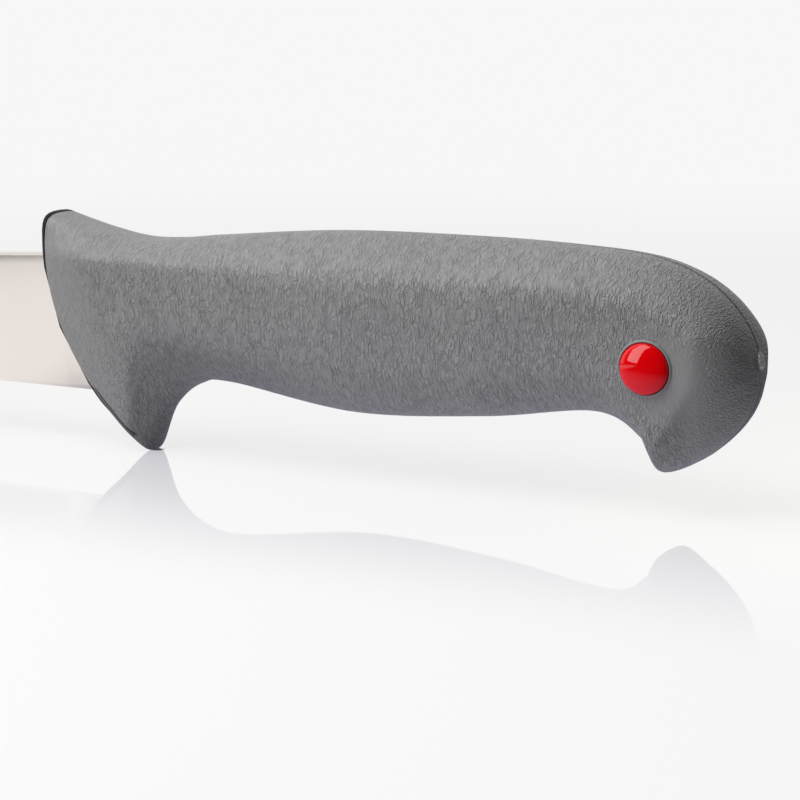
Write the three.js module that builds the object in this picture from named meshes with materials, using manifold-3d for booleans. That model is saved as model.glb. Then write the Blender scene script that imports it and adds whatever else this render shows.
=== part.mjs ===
// Butcher's knife: steel blade and tang, hard core moulded round the tang, soft sculpted grip skin
// over the core, and a two-half press-in colour pin through the pommel.
// Millimetres, +Z up. X runs along the blade's spine towards the butt, Y across the knife.
// While modelling, x = 0 is the front of the handle and z = 0 the blade's spine line; at the end
// the knife is set so that the origin is the middle of the bottom of its box.
import * as THREE from 'three';
import { ParametricGeometry } from 'three/addons/geometries/ParametricGeometry.js';
import { mergeVertices } from 'three/addons/utils/BufferGeometryUtils.js';
import Module from 'manifold-3d';

const wasm = await Module();
wasm.setup();

// Overall sizes of the handle
const HANDLE_LENGTH = 140;
const HANDLE_HEIGHT = 45;
const HANDLE_WIDTH = 23.6;

// Layers of the handle
const FIT_GAP = 0.3;            // clearance round every piece that sits inside another
const SKIN = 2.6;               // skin over the core on the top, sides and butt
const KEEL_SKIN = 5.2;          // skin under the core, along the belly
const FLANGE_TOP = 0.8;         // rim of the core in front of the skin: its thickness at the top,
const FLANGE_WAIST = 0.3;       // half way down the front edge
const FLANGE_FOOT = 1.25;       // and at the lower end of that edge
const FLANGE_END = 0.95;        // share of the front edge that the rim runs down
const KEY_DIAMETER = 6;         // skin runs through the core in cross holes of this size
const KEY_PITCH = 9;            // spacing of pin, two keys and tang end

// Blade and tang
const BLADE_LENGTH = 200;       // handle front to point
const BLADE_HEIGHT = 25.9;      // at the handle
const BLADE_THICKNESS = 3;      // at the rounded spine, at the handle
const EDGE_TAPER = 3.1;         // degrees between spine and edge
const BELLY_START = 0.62;       // share of the blade's length where the edge starts to curve up
const BELLY_CORNER = 0.94;      // share of the length where the straight edge and the point's line meet
const POINT_DROP = 3;           // point below the spine line
const BEVEL_HEIGHT = 0.8;       // sharpened strip along the edge
const BEVEL_THICKNESS = 0.5;    // blade thickness at the top of that strip
const BEVEL_SHARE = 0.25;       // at the point that strip is at most this share of the blade's height
const HEEL_DEPTH = 12;          // full-height blade inside the handle
const HEEL_THICKNESS = 1.2;     // blade thickness at the unsharpened heel, inside the handle
const GROUND_END = 1;           // the flat grind stops this far in front of the handle
const TANG_TOP = -3.6;          // tang edges at the heel, from the spine line
const TANG_BOTTOM = -17.4;
const TANG_TIP_HEIGHT = 9;
const TANG_THICKNESS = 2.6;
const TANG_HOLE_DIAMETER = 6;
const TANG_HOLE_POSITIONS = [0.4, 0.75];   // shares of the way from handle front to tang end

// Colour pin
const PIN_FROM_BUTT = 15.8;     // pin centre to the end of the handle
const PIN_DEPTH = 17.8;         // pin centre below the spine line
const PIN_HEAD_DIAMETER = 8.5;
const PIN_HEAD_RIM = 0.9;       // straight part of the head
const PIN_HEAD_DOME = 1.3;      // domed part of the head
const PIN_SEAT = 0.6;           // depth of the head's recess in the skin
const PIN_SHANK_DIAMETER = 4.8;
const PIN_POST_DIAMETER = 2.2;  // inner post of the stud
const PIN_POST_LENGTH = 8;      // length of the post inside the tube

// Fineness of the facets: rows between two stations, rows round the butt, steps in each section curve
const OUTSIDE = { stationRows: 4, buttRows: 10, curveSteps: 6 };
const INSIDE = { stationRows: 2, buttRows: 5, curveSteps: 3 };
const ROUND_STEPS = 36;
const DOME_STEPS = 6;
const SPINE_STEPS = 3;          // steps of the rounded spine, top to side
const EDGE_STEPS = 20;          // steps along the handle's front edge and the blade's belly
const MERGE_DISTANCE = 1e-4;    // corners closer than this are one
const SOLVE_STEPS = 40;         // halvings when a place on the grip is searched for

// Grip stations from the guard to the pommel. Along the knife, places and bows are shares (%) of
// the handle's length; heights are shares (%) of its height, above the spine line; half-widths are
// shares (%) of half its width. A station is a line from its top to its bottom point, bowed along x.
// Its section runs from the ridge flat over the shoulder and down the side to the lower corner and
// the keel flat; shoulder and corner stand at a share (%) of the way down the line.
// In order: top, bottom, bow, shoulder, corner, half-widths of the ridge and keel flats, crispness
// of the shoulder and of the corner.
const STATIONS = [
  station([0.1, 17.8], [12, -77.6], -4.7, [43, 16], [42, 85], [45, 11], [8, 6]),
  station([6.4, 11], [13.5, -82.1], -1.2, [81, 11], [53, 88], [46, 20], [8, 6]),
  station([13.1, 6.7], [17, -63.6], -0.6, [88, 12.5], [75, 64], [34, 17], [8, 4]),
  station([19.6, 6], [21.4, -54], -0.2, [91, 17.5], [80, 68], [27, 25], [7, 2]),
  station([27.4, 7.2], [27.4, -52.8], 0, [93, 22], [83, 74], [25, 34], [6, 2]),
  station([44.6, 8.6], [46, -62.9], 0, [98, 25], [87, 80], [25, 42], [6, 2]),
  station([64.6, 6], [64.6, -62.7], 0, [99, 25], [87, 80], [25, 42], [6, 2]),
  station([78.1, 2.6], [80, -59.3], 0, [100, 23.5], [90, 80], [27, 42], [6, 2]),
  station([86.6, -1.1], [86.3, -70.7], 0, [100, 19], [90, 84], [32, 32], [5, 3]),
  station([91.9, -7], [88.4, -80.8], 0, [99, 16], [86, 84], [37, 50], [4, 4]),
  station([95.6, -14.9], [92.5, -76.4], 0, [96, 15.5], [91, 55], [41, 41], [3, 5]),
];
const FLAT_CRISPNESS = 1.5;     // of the edges of the ridge and keel flats
const SECTION_PIECES = 4;       // curves in half a section, one round each of its corners
const NOSE_HEIGHT = -43.9;      // end point of the butt, share (%) of the height
const BUTT_FULLNESS = new THREE.Vector3(0, 0.78, 0.55);   // bluntness of the butt across and in height

function station(top, bottom, bow, shoulder, corner, flats, crisp) {
  return { top, bottom, bow, shoulder, corner, flats, crisp };
}

const toLength = new THREE.Vector2(HANDLE_LENGTH / 100, HANDLE_HEIGHT / 100);
const toSection = new THREE.Vector2(HANDLE_WIDTH / 200, 1 / 100);
const toHalfWidth = new THREE.Vector2(HANDLE_WIDTH / 200, HANDLE_WIDTH / 200);
const unscaled = new THREE.Vector2(1, 1);
const LAST_STATION = STATIONS.length - 1;
const NOSE = new THREE.Vector3(HANDLE_LENGTH, 0, (NOSE_HEIGHT * HANDLE_HEIGHT) / 100);

// Smooth line through one pair of values of all stations.
function along(pick, scale) {
  return new THREE.SplineCurve(STATIONS.map((s) => new THREE.Vector2(...pick(s)).multiply(scale)));
}
const topLine = along((s) => s.top, toLength);
const bottomLine = along((s) => s.bottom, toLength);
const bowLine = along((s) => [s.bow, 0], toLength);
const shoulderLine = along((s) => s.shoulder, toSection);
const cornerLine = along((s) => s.corner, toSection);
const flatLine = along((s) => s.flats, toHalfWidth);
const crispLine = along((s) => s.crisp, unscaled);

// Point of a conic from a to b that leans into the corner; a crisp one keeps closer to it.
function conic(a, corner, b, crispness, t) {
  const weights = [(1 - t) ** 2, 2 * crispness * t * (1 - t), t ** 2];
  const sum = weights[0] + weights[1] + weights[2];
  const point = a.clone().multiplyScalar(weights[0]);
  point.addScaledVector(corner, weights[1]).addScaledVector(b, weights[2]);
  return point.divideScalar(sum);
}

// Point on a station's line at a share of the way down, in the middle plane.
function stationPoint(u, share) {
  const top = topLine.getPoint(u);
  const bottom = bottomLine.getPoint(u);
  const bow = bowLine.getPoint(u).x * 4 * share * (1 - share);
  const point = top.lerp(bottom, share);
  return new THREE.Vector3(point.x + bow, 0, point.y);
}

// Half section of the grip at station u: v runs from the ridge (0) to the keel (1).
// The inset form lies under the surface, by inset at the sides and top and by lift at the keel.
function halfSection(u, v, inset, lift) {
  const length = topLine.getPoint(u).distanceTo(bottomLine.getPoint(u));
  const shoulder = shoulderLine.getPoint(u);
  const corner = cornerLine.getPoint(u);
  const flats = flatLine.getPoint(u);
  const narrow = 1 - inset / shoulder.x;
  const start = inset / length;
  const end = 1 - lift / length;
  const control = [
    new THREE.Vector2(0, start),
    new THREE.Vector2(flats.x * narrow, start),
    new THREE.Vector2(shoulder.x - inset, start + shoulder.y * (end - start)),
    new THREE.Vector2(corner.x - inset, start + corner.y * (end - start)),
    new THREE.Vector2(flats.y * narrow, end),
    new THREE.Vector2(0, end),
  ];
  const crisp = crispLine.getPoint(u);
  const crispness = [FLAT_CRISPNESS, crisp.x, crisp.y, FLAT_CRISPNESS];
  const joints = [1, 2, 3].map((k) => control[k].clone().lerp(control[k + 1], 0.5));
  const ends = [control[0], ...joints, control[5]];
  const piece = Math.min(Math.floor(v * SECTION_PIECES), SECTION_PIECES - 1);
  const t = v * SECTION_PIECES - piece;
  return conic(ends[piece], control[piece + 1], ends[piece + 1], crispness[piece], t);
}

// Point on the grip, or on its inset form: around runs down the near side and up the far side.
function gripPoint(u, around, inset, lift) {
  const near = around <= 0.5;
  const section = halfSection(u, near ? around * 2 : 2 - around * 2, inset, lift);
  const point = stationPoint(u, section.y);
  point.y = near ? -section.x : section.x;
  return point;
}

// Point on the butt: each line of the grip turns in at the last station and rounds to the nose,
// which leaves a crease round the flat of the side.
function buttPoint(t, around, inset, lift) {
  const start = gripPoint(1, around, inset, lift);
  const nose = NOSE.clone().setX(NOSE.x - inset);
  const turn = start.clone().sub(nose).multiply(BUTT_FULLNESS).add(nose);
  return new THREE.QuadraticBezierCurve3(start, turn, nose).getPoint(t);
}

// Closed body of the grip, or of its inset form. The first row closes the front on the middle plane.
function gripBody(inset, lift, fineness) {
  const gripRows = LAST_STATION * fineness.stationRows;
  const rows = 1 + gripRows + fineness.buttRows;
  const surface = (u, around, target) => {
    const row = Math.round(u * rows) - 1;
    if (row < 0) target.copy(gripPoint(0, around, inset, lift)).setY(0);
    else if (row <= gripRows) target.copy(gripPoint(row / gripRows, around, inset, lift));
    else target.copy(buttPoint((row - gripRows) / fineness.buttRows, around, inset, lift));
  };
  return solid(new ParametricGeometry(surface, rows, fineness.curveSteps * SECTION_PIECES * 2));
}

// Solid from a closed surface: shared corners merged, collapsed triangles left out, faces outward.
function solid(geometry) {
  const bare = geometry.clone();
  bare.deleteAttribute('normal');
  bare.deleteAttribute('uv');
  const merged = mergeVertices(bare, MERGE_DISTANCE);
  const index = merged.index.array;
  const triangles = [];
  for (let i = 0; i < index.length; i += 3) {
    const [a, b, c] = [index[i], index[i + 1], index[i + 2]];
    if (a !== b && b !== c && c !== a) triangles.push(a, b, c);
  }
  const vertProperties = new Float32Array(merged.attributes.position.array);
  if (volume(vertProperties, triangles) < 0) triangles.reverse();
  const triVerts = new Uint32Array(triangles);
  return new wasm.Manifold(new wasm.Mesh({ numProp: 3, vertProperties, triVerts }));
}

// Signed volume inside a triangle mesh.
function volume(positions, triangles) {
  const corner = [new THREE.Vector3(), new THREE.Vector3(), new THREE.Vector3()];
  let sum = 0;
  for (let i = 0; i < triangles.length; i += 3) {
    corner.forEach((p, k) => p.fromArray(positions, triangles[i + k] * 3));
    sum += corner[0].dot(corner[1].cross(corner[2])) / 6;
  }
  return sum;
}

// Outline in the side view (x, z), extruded across the knife.
function acrossKnife(shape, width) {
  const settings = { depth: width, bevelEnabled: false, curveSegments: ROUND_STEPS / 2 };
  const geometry = new THREE.ExtrudeGeometry(shape, settings);
  return solid(geometry.rotateX(Math.PI / 2).translate(0, width / 2, 0));
}

// Round body about an axis across the knife, from (radius, y) pairs that start and end on the axis.
function roundBody(profile, x, z) {
  const points = profile.map(([radius, y]) => new THREE.Vector2(radius, y));
  return solid(new THREE.LatheGeometry(points, ROUND_STEPS).translate(x, 0, z));
}

// Plain cylinder across the knife between two y values.
function crossPin(diameter, fromY, toY, x, z) {
  const r = diameter / 2;
  return roundBody([[0, fromY], [r, fromY], [r, toY], [0, toY]], x, z);
}

// Everything in front of the rim's back face, set back by a clearance, down to a share of the edge.
function frontStrip(clearance, end) {
  const reach = HANDLE_HEIGHT;
  const edge = [];
  for (let i = 0; i <= EDGE_STEPS; i += 1) {
    const share = (end * i) / EDGE_STEPS;
    const point = stationPoint(0, share);
    const ends = THREE.MathUtils.lerp(FLANGE_TOP, FLANGE_FOOT, share);
    const thickness = THREE.MathUtils.lerp(ends, FLANGE_WAIST, Math.sin(Math.PI * share));
    edge.push(new THREE.Vector2(point.x + thickness + clearance, point.z));
  }
  const shape = new THREE.Shape();
  shape.moveTo(-reach, reach);
  shape.lineTo(edge[0].x, reach);
  edge.forEach((p) => shape.lineTo(p.x, p.y));
  shape.lineTo(-reach, edge.at(-1).y);
  return acrossKnife(shape, HANDLE_WIDTH * 2);
}

const pinX = HANDLE_LENGTH - PIN_FROM_BUTT;
const keyPlaces = [pinX - KEY_PITCH, pinX - KEY_PITCH * 2];
const tangEnd = pinX - KEY_PITCH * 3;
const tangMiddle = (TANG_TOP + TANG_BOTTOM) / 2;

// Place between 0 and 1 where a rising function reaches a value.
function solve(rising, value) {
  let [low, high] = [0, 1];
  for (let i = 0; i < SOLVE_STEPS; i += 1) {
    const middle = (low + high) / 2;
    if (rising(middle) < value) low = middle;
    else high = middle;
  }
  return low;
}

// Half-width of the grip's side at the pin.
function sideAtPin() {
  const pinShare = (u) => {
    const top = topLine.getPoint(u).y;
    return (top + PIN_DEPTH) / (top - bottomLine.getPoint(u).y);
  };
  const u = solve((at) => stationPoint(at, pinShare(at)).x, pinX);
  const v = solve((at) => halfSection(u, at, 0, 0).y, pinShare(u));
  return halfSection(u, v, 0, 0).x;
}
const seatY = sideAtPin() - PIN_SEAT;

// Steel blade: section rows from the heel inside the handle to the point.
const edgeSlope = Math.tan(THREE.MathUtils.degToRad(EDGE_TAPER));
const spineRadius = BLADE_THICKNESS / 2;
const bevelHalf = BEVEL_THICKNESS / 2;
const grind = (spineRadius - bevelHalf) / (BLADE_HEIGHT - BEVEL_HEIGHT - spineRadius);

function edgeHeight(x) {
  return -BLADE_HEIGHT - x * edgeSlope;
}

// Rows of the blade: [x, edge z, half thickness at the top of the bevel].
function bladeRows() {
  const rows = [
    [HEEL_DEPTH, edgeHeight(HEEL_DEPTH), HEEL_THICKNESS / 2],
    [-GROUND_END, edgeHeight(-GROUND_END), bevelHalf],
  ];
  const onEdge = (share) => new THREE.Vector2(-BLADE_LENGTH * share, edgeHeight(-BLADE_LENGTH * share));
  const point = new THREE.Vector2(-BLADE_LENGTH, -POINT_DROP);
  const belly = new THREE.QuadraticBezierCurve(onEdge(BELLY_START), onEdge(BELLY_CORNER), point);
  for (let i = 0; i < EDGE_STEPS; i += 1) {
    const p = belly.getPoint(i / EDGE_STEPS);
    rows.push([p.x, p.y, bevelHalf]);
  }
  return rows;
}

// Spine height: straight, then bending down to the point over the belly.
function spineHeight(x) {
  const bend = Math.max(0, (-x / BLADE_LENGTH - BELLY_START) / (1 - BELLY_START));
  return -POINT_DROP * bend ** 2;
}

// Half section of the blade: rounded spine, flat ground side, bevel and edge.
function bladeSection([x, edge, half]) {
  const spine = spineHeight(x);
  const height = spine - edge;
  const bevel = Math.min(BEVEL_HEIGHT, height * BEVEL_SHARE);
  const radius = Math.min(spineRadius, (half + (height - bevel) * grind) / (1 + grind));
  const points = [];
  for (let i = 0; i <= SPINE_STEPS; i += 1) {
    const angle = (i * Math.PI) / (2 * SPINE_STEPS);
    points.push(new THREE.Vector3(x, -radius * Math.sin(angle), spine - radius * (1 - Math.cos(angle))));
  }
  points.push(new THREE.Vector3(x, -half, edge + bevel), new THREE.Vector3(x, 0, edge));
  return points;
}

function bladeBody() {
  const sections = bladeRows().map(bladeSection);
  const first = sections[0].map((p) => p.clone().setY(0));
  const point = sections[0].map(() => new THREE.Vector3(-BLADE_LENGTH, 0, -POINT_DROP));
  const rings = [first, ...sections, point].map((half) => {
    const far = half.slice(1).reverse().slice(1).map((p) => p.clone().setY(-p.y));
    return [...half, ...far, half[0]];
  });
  const rows = rings.length - 1;
  const around = rings[0].length - 1;
  const surface = (u, v, target) => target.copy(rings[Math.round(u * rows)][Math.round(v * around)]);
  return solid(new ParametricGeometry(surface, rows, around));
}

// Tang in the side view, grown by a clearance; its holes shrink by the same amount.
function tangShape(grow) {
  const tip = TANG_TIP_HEIGHT / 2 + grow;
  const shape = new THREE.Shape();
  shape.moveTo(HEEL_DEPTH / 2, TANG_TOP + grow);
  shape.lineTo(HEEL_DEPTH / 2, TANG_BOTTOM - grow);
  shape.lineTo(tangEnd - TANG_TIP_HEIGHT / 2, tangMiddle - tip);
  shape.absarc(tangEnd - TANG_TIP_HEIGHT / 2, tangMiddle, tip, -Math.PI / 2, Math.PI / 2, false);
  for (const share of TANG_HOLE_POSITIONS) {
    const hole = new THREE.Path();
    hole.absarc(tangEnd * share, tangMiddle, TANG_HOLE_DIAMETER / 2 - grow, 0, Math.PI * 2, true);
    shape.holes.push(hole);
  }
  return shape;
}

// Room for the full-height heel of the blade inside the handle.
function heelPocket() {
  const shape = new THREE.Shape();
  const floor = edgeHeight(HEEL_DEPTH) - FIT_GAP;
  shape.moveTo(-HANDLE_HEIGHT, FIT_GAP);
  shape.lineTo(-HANDLE_HEIGHT, floor);
  shape.lineTo(HEEL_DEPTH + FIT_GAP, floor);
  shape.lineTo(HEEL_DEPTH + FIT_GAP, FIT_GAP);
  return acrossKnife(shape, BLADE_THICKNESS + FIT_GAP * 2);
}

function blade() {
  return bladeBody().add(acrossKnife(tangShape(0), TANG_THICKNESS));
}

// Cross posts of the skin through the core, or the core's holes for them.
function keys(diameter) {
  const posts = keyPlaces.map((x) => crossPin(diameter, -HANDLE_WIDTH, HANDLE_WIDTH, x, tangMiddle));
  return posts.reduce((all, post) => all.add(post));
}

function pinBore() {
  return crossPin(PIN_SHANK_DIAMETER + FIT_GAP * 2, -HANDLE_WIDTH, HANDLE_WIDTH, pinX, -PIN_DEPTH);
}

// Core under the skin, with a rim in front that is flush with the skin.
function handleCore() {
  const flangeShare = FLANGE_END - FIT_GAP / HANDLE_HEIGHT;
  return gripBody(SKIN, KEEL_SKIN, INSIDE)
    .add(gripBody(0, 0, OUTSIDE).intersect(frontStrip(0, flangeShare)))
    .subtract(heelPocket())
    .subtract(acrossKnife(tangShape(FIT_GAP), TANG_THICKNESS + FIT_GAP * 2))
    .subtract(keys(KEY_DIAMETER))
    .subtract(pinBore());
}

function gripSkin() {
  const room = gripBody(SKIN - FIT_GAP, KEEL_SKIN - FIT_GAP, INSIDE)
    .subtract(keys(KEY_DIAMETER - FIT_GAP * 2));
  const recess = PIN_HEAD_DIAMETER + FIT_GAP * 2;
  return gripBody(0, 0, OUTSIDE)
    .subtract(room)
    .subtract(frontStrip(FIT_GAP, FLANGE_END))
    .subtract(pinBore())
    .subtract(crossPin(recess, seatY, HANDLE_WIDTH, pinX, -PIN_DEPTH))
    .subtract(crossPin(recess, -HANDLE_WIDTH, -seatY, pinX, -PIN_DEPTH));
}

// Domed head of the pin as (radius, y) pairs from the axis to the underside at the shank.
function headProfile() {
  const r = PIN_HEAD_DIAMETER / 2;
  const top = seatY + PIN_HEAD_RIM + PIN_HEAD_DOME;
  const dome = [];
  for (let i = 0; i <= DOME_STEPS; i += 1) {
    const angle = (i * Math.PI) / (2 * DOME_STEPS);
    dome.push([r * Math.sin(angle), top - PIN_HEAD_DOME * (1 - Math.cos(angle))]);
  }
  return [...dome, [r, seatY], [PIN_SHANK_DIAMETER / 2, seatY]];
}

// Pin half with a post, entering from +Y.
function pinStud() {
  const shoulder = PIN_POST_LENGTH / 2;
  const post = PIN_POST_DIAMETER / 2;
  const inner = [[PIN_SHANK_DIAMETER / 2, shoulder], [post, shoulder], [post, -shoulder], [0, -shoulder]];
  return roundBody([...headProfile(), ...inner], pinX, -PIN_DEPTH);
}

// Pin half with a tube, entering from -Y.
function pinSocket() {
  const mouth = FIT_GAP - PIN_POST_LENGTH / 2;
  const floor = PIN_POST_LENGTH / 2 + FIT_GAP;
  const bore = PIN_POST_DIAMETER / 2 + FIT_GAP;
  const inner = [[PIN_SHANK_DIAMETER / 2, mouth], [bore, mouth], [bore, floor], [0, floor]];
  const profile = [...headProfile(), ...inner].map(([radius, y]) => [radius, -y]);
  return roundBody(profile, pinX, -PIN_DEPTH);
}

function mesh(name, body, look) {
  const { vertProperties, triVerts } = body.getMesh();
  const geometry = new THREE.BufferGeometry();
  geometry.setAttribute('position', new THREE.BufferAttribute(vertProperties, 3));
  geometry.setIndex(new THREE.BufferAttribute(triVerts, 1));
  geometry.computeVertexNormals();
  const piece = new THREE.Mesh(geometry, new THREE.MeshStandardMaterial(look));
  piece.name = name;
  return piece;
}

const red = { color: 0xc8000c, roughness: 0.18, metalness: 0 };
const knife = new THREE.Group();
knife.add(
  mesh('blade', blade(), { color: 0xdcd6d0, roughness: 0.3, metalness: 1 }),
  mesh('handle_core', handleCore(), { color: 0x18181a, roughness: 0.5, metalness: 0 }),
  mesh('grip_skin', gripSkin(), { color: 0x6e7072, roughness: 0.75, metalness: 0 }),
  mesh('pin_socket', pinSocket(), red),
  mesh('pin_stud', pinStud(), red),
);
const box = new THREE.Box3().setFromObject(knife);
knife.position.set(-(box.min.x + box.max.x) / 2, 0, -box.min.z);

export default knife;
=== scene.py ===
"""Finish of a butcher knife: grained grip, black core, satin steel blade and red colour pin."""
import math

import bmesh
import bpy
import numpy as np
from mathutils import Matrix, Vector


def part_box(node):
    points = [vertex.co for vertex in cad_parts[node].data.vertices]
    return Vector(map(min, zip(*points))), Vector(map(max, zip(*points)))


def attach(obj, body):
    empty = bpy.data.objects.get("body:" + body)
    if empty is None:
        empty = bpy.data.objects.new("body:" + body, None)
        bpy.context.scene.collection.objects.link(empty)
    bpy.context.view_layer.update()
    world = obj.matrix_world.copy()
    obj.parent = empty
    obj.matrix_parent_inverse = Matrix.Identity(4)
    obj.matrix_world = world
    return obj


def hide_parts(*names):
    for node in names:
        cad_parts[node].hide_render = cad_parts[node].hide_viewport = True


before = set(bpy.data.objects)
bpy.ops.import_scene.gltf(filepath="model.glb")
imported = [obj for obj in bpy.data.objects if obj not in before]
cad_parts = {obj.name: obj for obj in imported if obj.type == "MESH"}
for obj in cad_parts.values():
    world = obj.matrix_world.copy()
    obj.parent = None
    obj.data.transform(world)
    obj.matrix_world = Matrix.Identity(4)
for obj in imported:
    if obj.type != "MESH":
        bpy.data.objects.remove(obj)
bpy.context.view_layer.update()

MM = 0.001

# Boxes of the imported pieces
_, grip_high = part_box("grip_skin")
blade_low, blade_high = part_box("blade")
socket_low, socket_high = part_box("pin_socket")
stud_low, stud_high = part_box("pin_stud")

# Handle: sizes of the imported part, and where its front and the blade's spine line lie
HANDLE_LENGTH = 140 * MM
HANDLE_HEIGHT = 45 * MM
HANDLE_WIDTH = 23.6 * MM
FRONT = grip_high.x - HANDLE_LENGTH
SPINE = blade_high.z
SKIN = 2.3 * MM  # wall of the skin at the top, sides and butt
KEEL_SKIN = 4.9 * MM  # wall of the skin along the belly
RIM_TOP = 0.8 * MM  # black front rim of the core: its thickness at the top,
RIM_WAIST = 0.3 * MM  # half way down the front edge
RIM_FOOT = 1.25 * MM  # and at the lower end of that edge
RIM_GAP = 0.2 * MM  # dark line between rim and skin
RIM_END = (0.947, 0.985)  # shares of the front edge where the skin closes under the rim

# Border of the rim at the guard foot, painted on the skin as a dark line of shade in the gap
# between rim and skin, with the rim's black before it
FOOT_LINE = (Vector((40.0, 0, 11.5)) * MM, Vector((47.6, 0, 3.8)) * MM)
FOOT_GROOVE = 0.27 * MM  # half width of the line
FOOT_SOLID = 0.4  # share of that which is fully dark
FOOT_FADE = (2 * MM, 0.6 * MM)  # of the line, before its start and after its end
FOOT_STRENGTH = 0.9  # of the line of painted shade
FOOT_RIM_STRENGTH = 0.5  # and of the rim before it

# Grip stations from the guard to the pommel, as shares (%) of the handle's length, height and half
# width: top x, z, bottom x, z, bow, shoulder half-width and share of the way down, lower corner
# half-width and share, half-widths of the ridge and keel flats, crispness of shoulder and corner.
STATIONS = np.array([
    (0.1, 17.8, 12, -77.6, -4.7, 43, 16, 42, 85, 45, 11, 8, 6),
    (6.4, 11, 13.5, -82.1, -1.2, 81, 11, 53, 88, 46, 20, 8, 6),
    (13.1, 6.7, 17, -63.6, -0.6, 88, 11, 75, 64, 34, 17, 7, 4),
    (19.6, 6, 21.4, -54, -0.2, 91, 13.5, 80, 68, 27, 25, 5, 2),
    (27.4, 7.2, 27.4, -52.8, 0, 93, 17, 83, 74, 25, 34, 3.6, 2),
    (44.6, 8.6, 46, -62.9, 0, 98, 20.5, 87, 80, 25, 42, 3, 2),
    (64.6, 6, 64.6, -62.7, 0, 99, 22, 87, 80, 25, 42, 3, 2),
    (78.1, 2.6, 80, -59.3, 0, 100, 21.5, 90, 80, 27, 42, 3, 2),
    (86.6, -1.1, 86.3, -70.7, 0, 100, 18.5, 90, 84, 32, 32, 3, 3),
    (91.9, -7, 88.4, -80.8, 0, 99, 16, 86, 84, 37, 50, 3, 4),
    (95.6, -14.9, 92.5, -76.4, 0, 96, 15.5, 91, 55, 41, 41, 3, 5),
])
ALONG, UP, ASIDE = HANDLE_LENGTH / 100, HANDLE_HEIGHT / 100, HANDLE_WIDTH / 200
STATION_SCALE = np.array([
    ALONG, UP, ALONG, UP, ALONG, ASIDE, 0.01, ASIDE, 0.01, ASIDE, ASIDE, 1, 1,
])
LAST_STATION = len(STATIONS) - 1
FLAT_CRISPNESS = 1.5  # of the edges of the ridge and keel flats
NOSE_DROP = 43.9  # % of the handle's height from the spine line to the nose of the butt
NOSE = np.array([grip_high.x, 0, SPINE - NOSE_DROP * UP])
BUTT_FULLNESS = np.array([0, 0.78, 0.55])  # bluntness of the butt across and in height
CREASE_REACH = (3, 16)  # rows rounded on each side of the crease, on the side and the roof
CREASE_EDGE = (0.1, 0.24)  # shares of the way down the last station over which the roof ends

# Fineness of the skin
CELL = 0.38 * MM
HALF_GIRTH = 38 * MM  # about half the way round the grip, for the number of columns
BUTT_RUN = 17 * MM  # about the way from the last station to the nose
CURVE_STEPS = 160  # steps of each section curve before it is spaced out evenly
STATION_ROWS = 30  # rows for each station before they are spaced out evenly
SEAM_COLUMNS = np.array([0, 0.1, 0.2, 0.3, 0.45]) * MM  # columns beside the mould seam
INNER_ROWS = 24  # rows of the inside of the skin along the grip
INNER_BUTT_ROWS = 6  # and round the butt

# Mould seam round the butt and the scar of the gate on its end
SEAM_DEPTH = 0.45 * MM
SEAM_WIDTH = 0.32 * MM
SEAM_TOP = (6.6, 8.2)  # stations over which the seam comes up on the back
SEAM_BELOW = (9.0, 9.9)  # and on the belly
SEAM_CENTRE = 0.75  # share of the handle's length towards which it is cut
SEAM_SHADE = 1.6  # width of its line of painted shade, against its groove
SEAM_STRENGTH = 0.95  # of that line
SCAR_SIZE = (1.3 * MM, 1.5 * MM)
SCAR_RISE = 2.0 * MM  # of its middle above the nose
SCAR_HEIGHT = 0.42 * MM
SCAR_EDGE = (1.15, 0.75)  # shares of its size between which it rises
SCAR_REACH = 2 * MM  # from the nose, along the handle
SCAR_FLOOR = 0.5  # least share of its height
SCAR_LEAST = 0.4  # least strength of its colour
TORN_SCALE = (2600, 2600, 2600)  # of the tears in it, per metre
TORN_EDGE = (0.45, 0.62)

# Grain
SWELL_SIZE = (1.1, 2.4, 2.4)  # mm, of the modelled swells: along the handle, across and in height
WRINKLE_SIZE = (0.56, 2.3, 2.3)  # mm, of the cells between long wrinkles
PEBBLE_SIZE = (0.42, 0.8, 0.8)  # mm, of the small cells
END_SIZE = (0.7, 1.0, 0.52)  # mm, of the cells on the butt
GRAIN_DEPTH = 0.05 * MM  # of the modelled part of the grain
GRAIN_RELIEF = 0.13 * MM  # of the finer part
GRAIN_BEND = (0.3, (1.8, 1.2, 1.2))  # bends of the cells: number per mm and reach in mm
GRAIN_WAVER = (1.7, (0.7, 0.5, 0.5))  # and wavering of their borders
SWELL_LEVEL = 0.4  # of the swells, left on the surface
WRINKLE_BORDER = 0.2  # widths of the borders of the cells, as shares of their size
PEBBLE_BORDER = 0.4
END_BORDER = 0.35
WRINKLE_LEAST = 0.35  # least depth of the wrinkles
PEBBLE_SHARE = 0.36  # height of the small cells against the wrinkles
SIDE_LEVEL = 0.9  # of the finer grain on the sides, left on the surface,
END_LEVEL = 0.6  # and on the butt
END_SHARE = 0.9  # height of the grain on the butt
PORE_SHARE = 0.12  # height of the pores
DEEP_SCALE = (900, 650, 650)  # of the change between deep and faint wrinkles, per metre
DEEP_EDGE = (0.34, 0.6)
PORE_SCALE = (3800, 3800, 3800)
MOTTLE_SCALE = (70, 70, 70)
MOTTLE_EDGE = (0.3, 0.7)
CREASE_STRENGTH = 0.3  # of the painted shade in the creases
CREASE_LEAST = 0.45  # least share of it
END_CREASES = 0.5  # and its share on the butt

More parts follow.
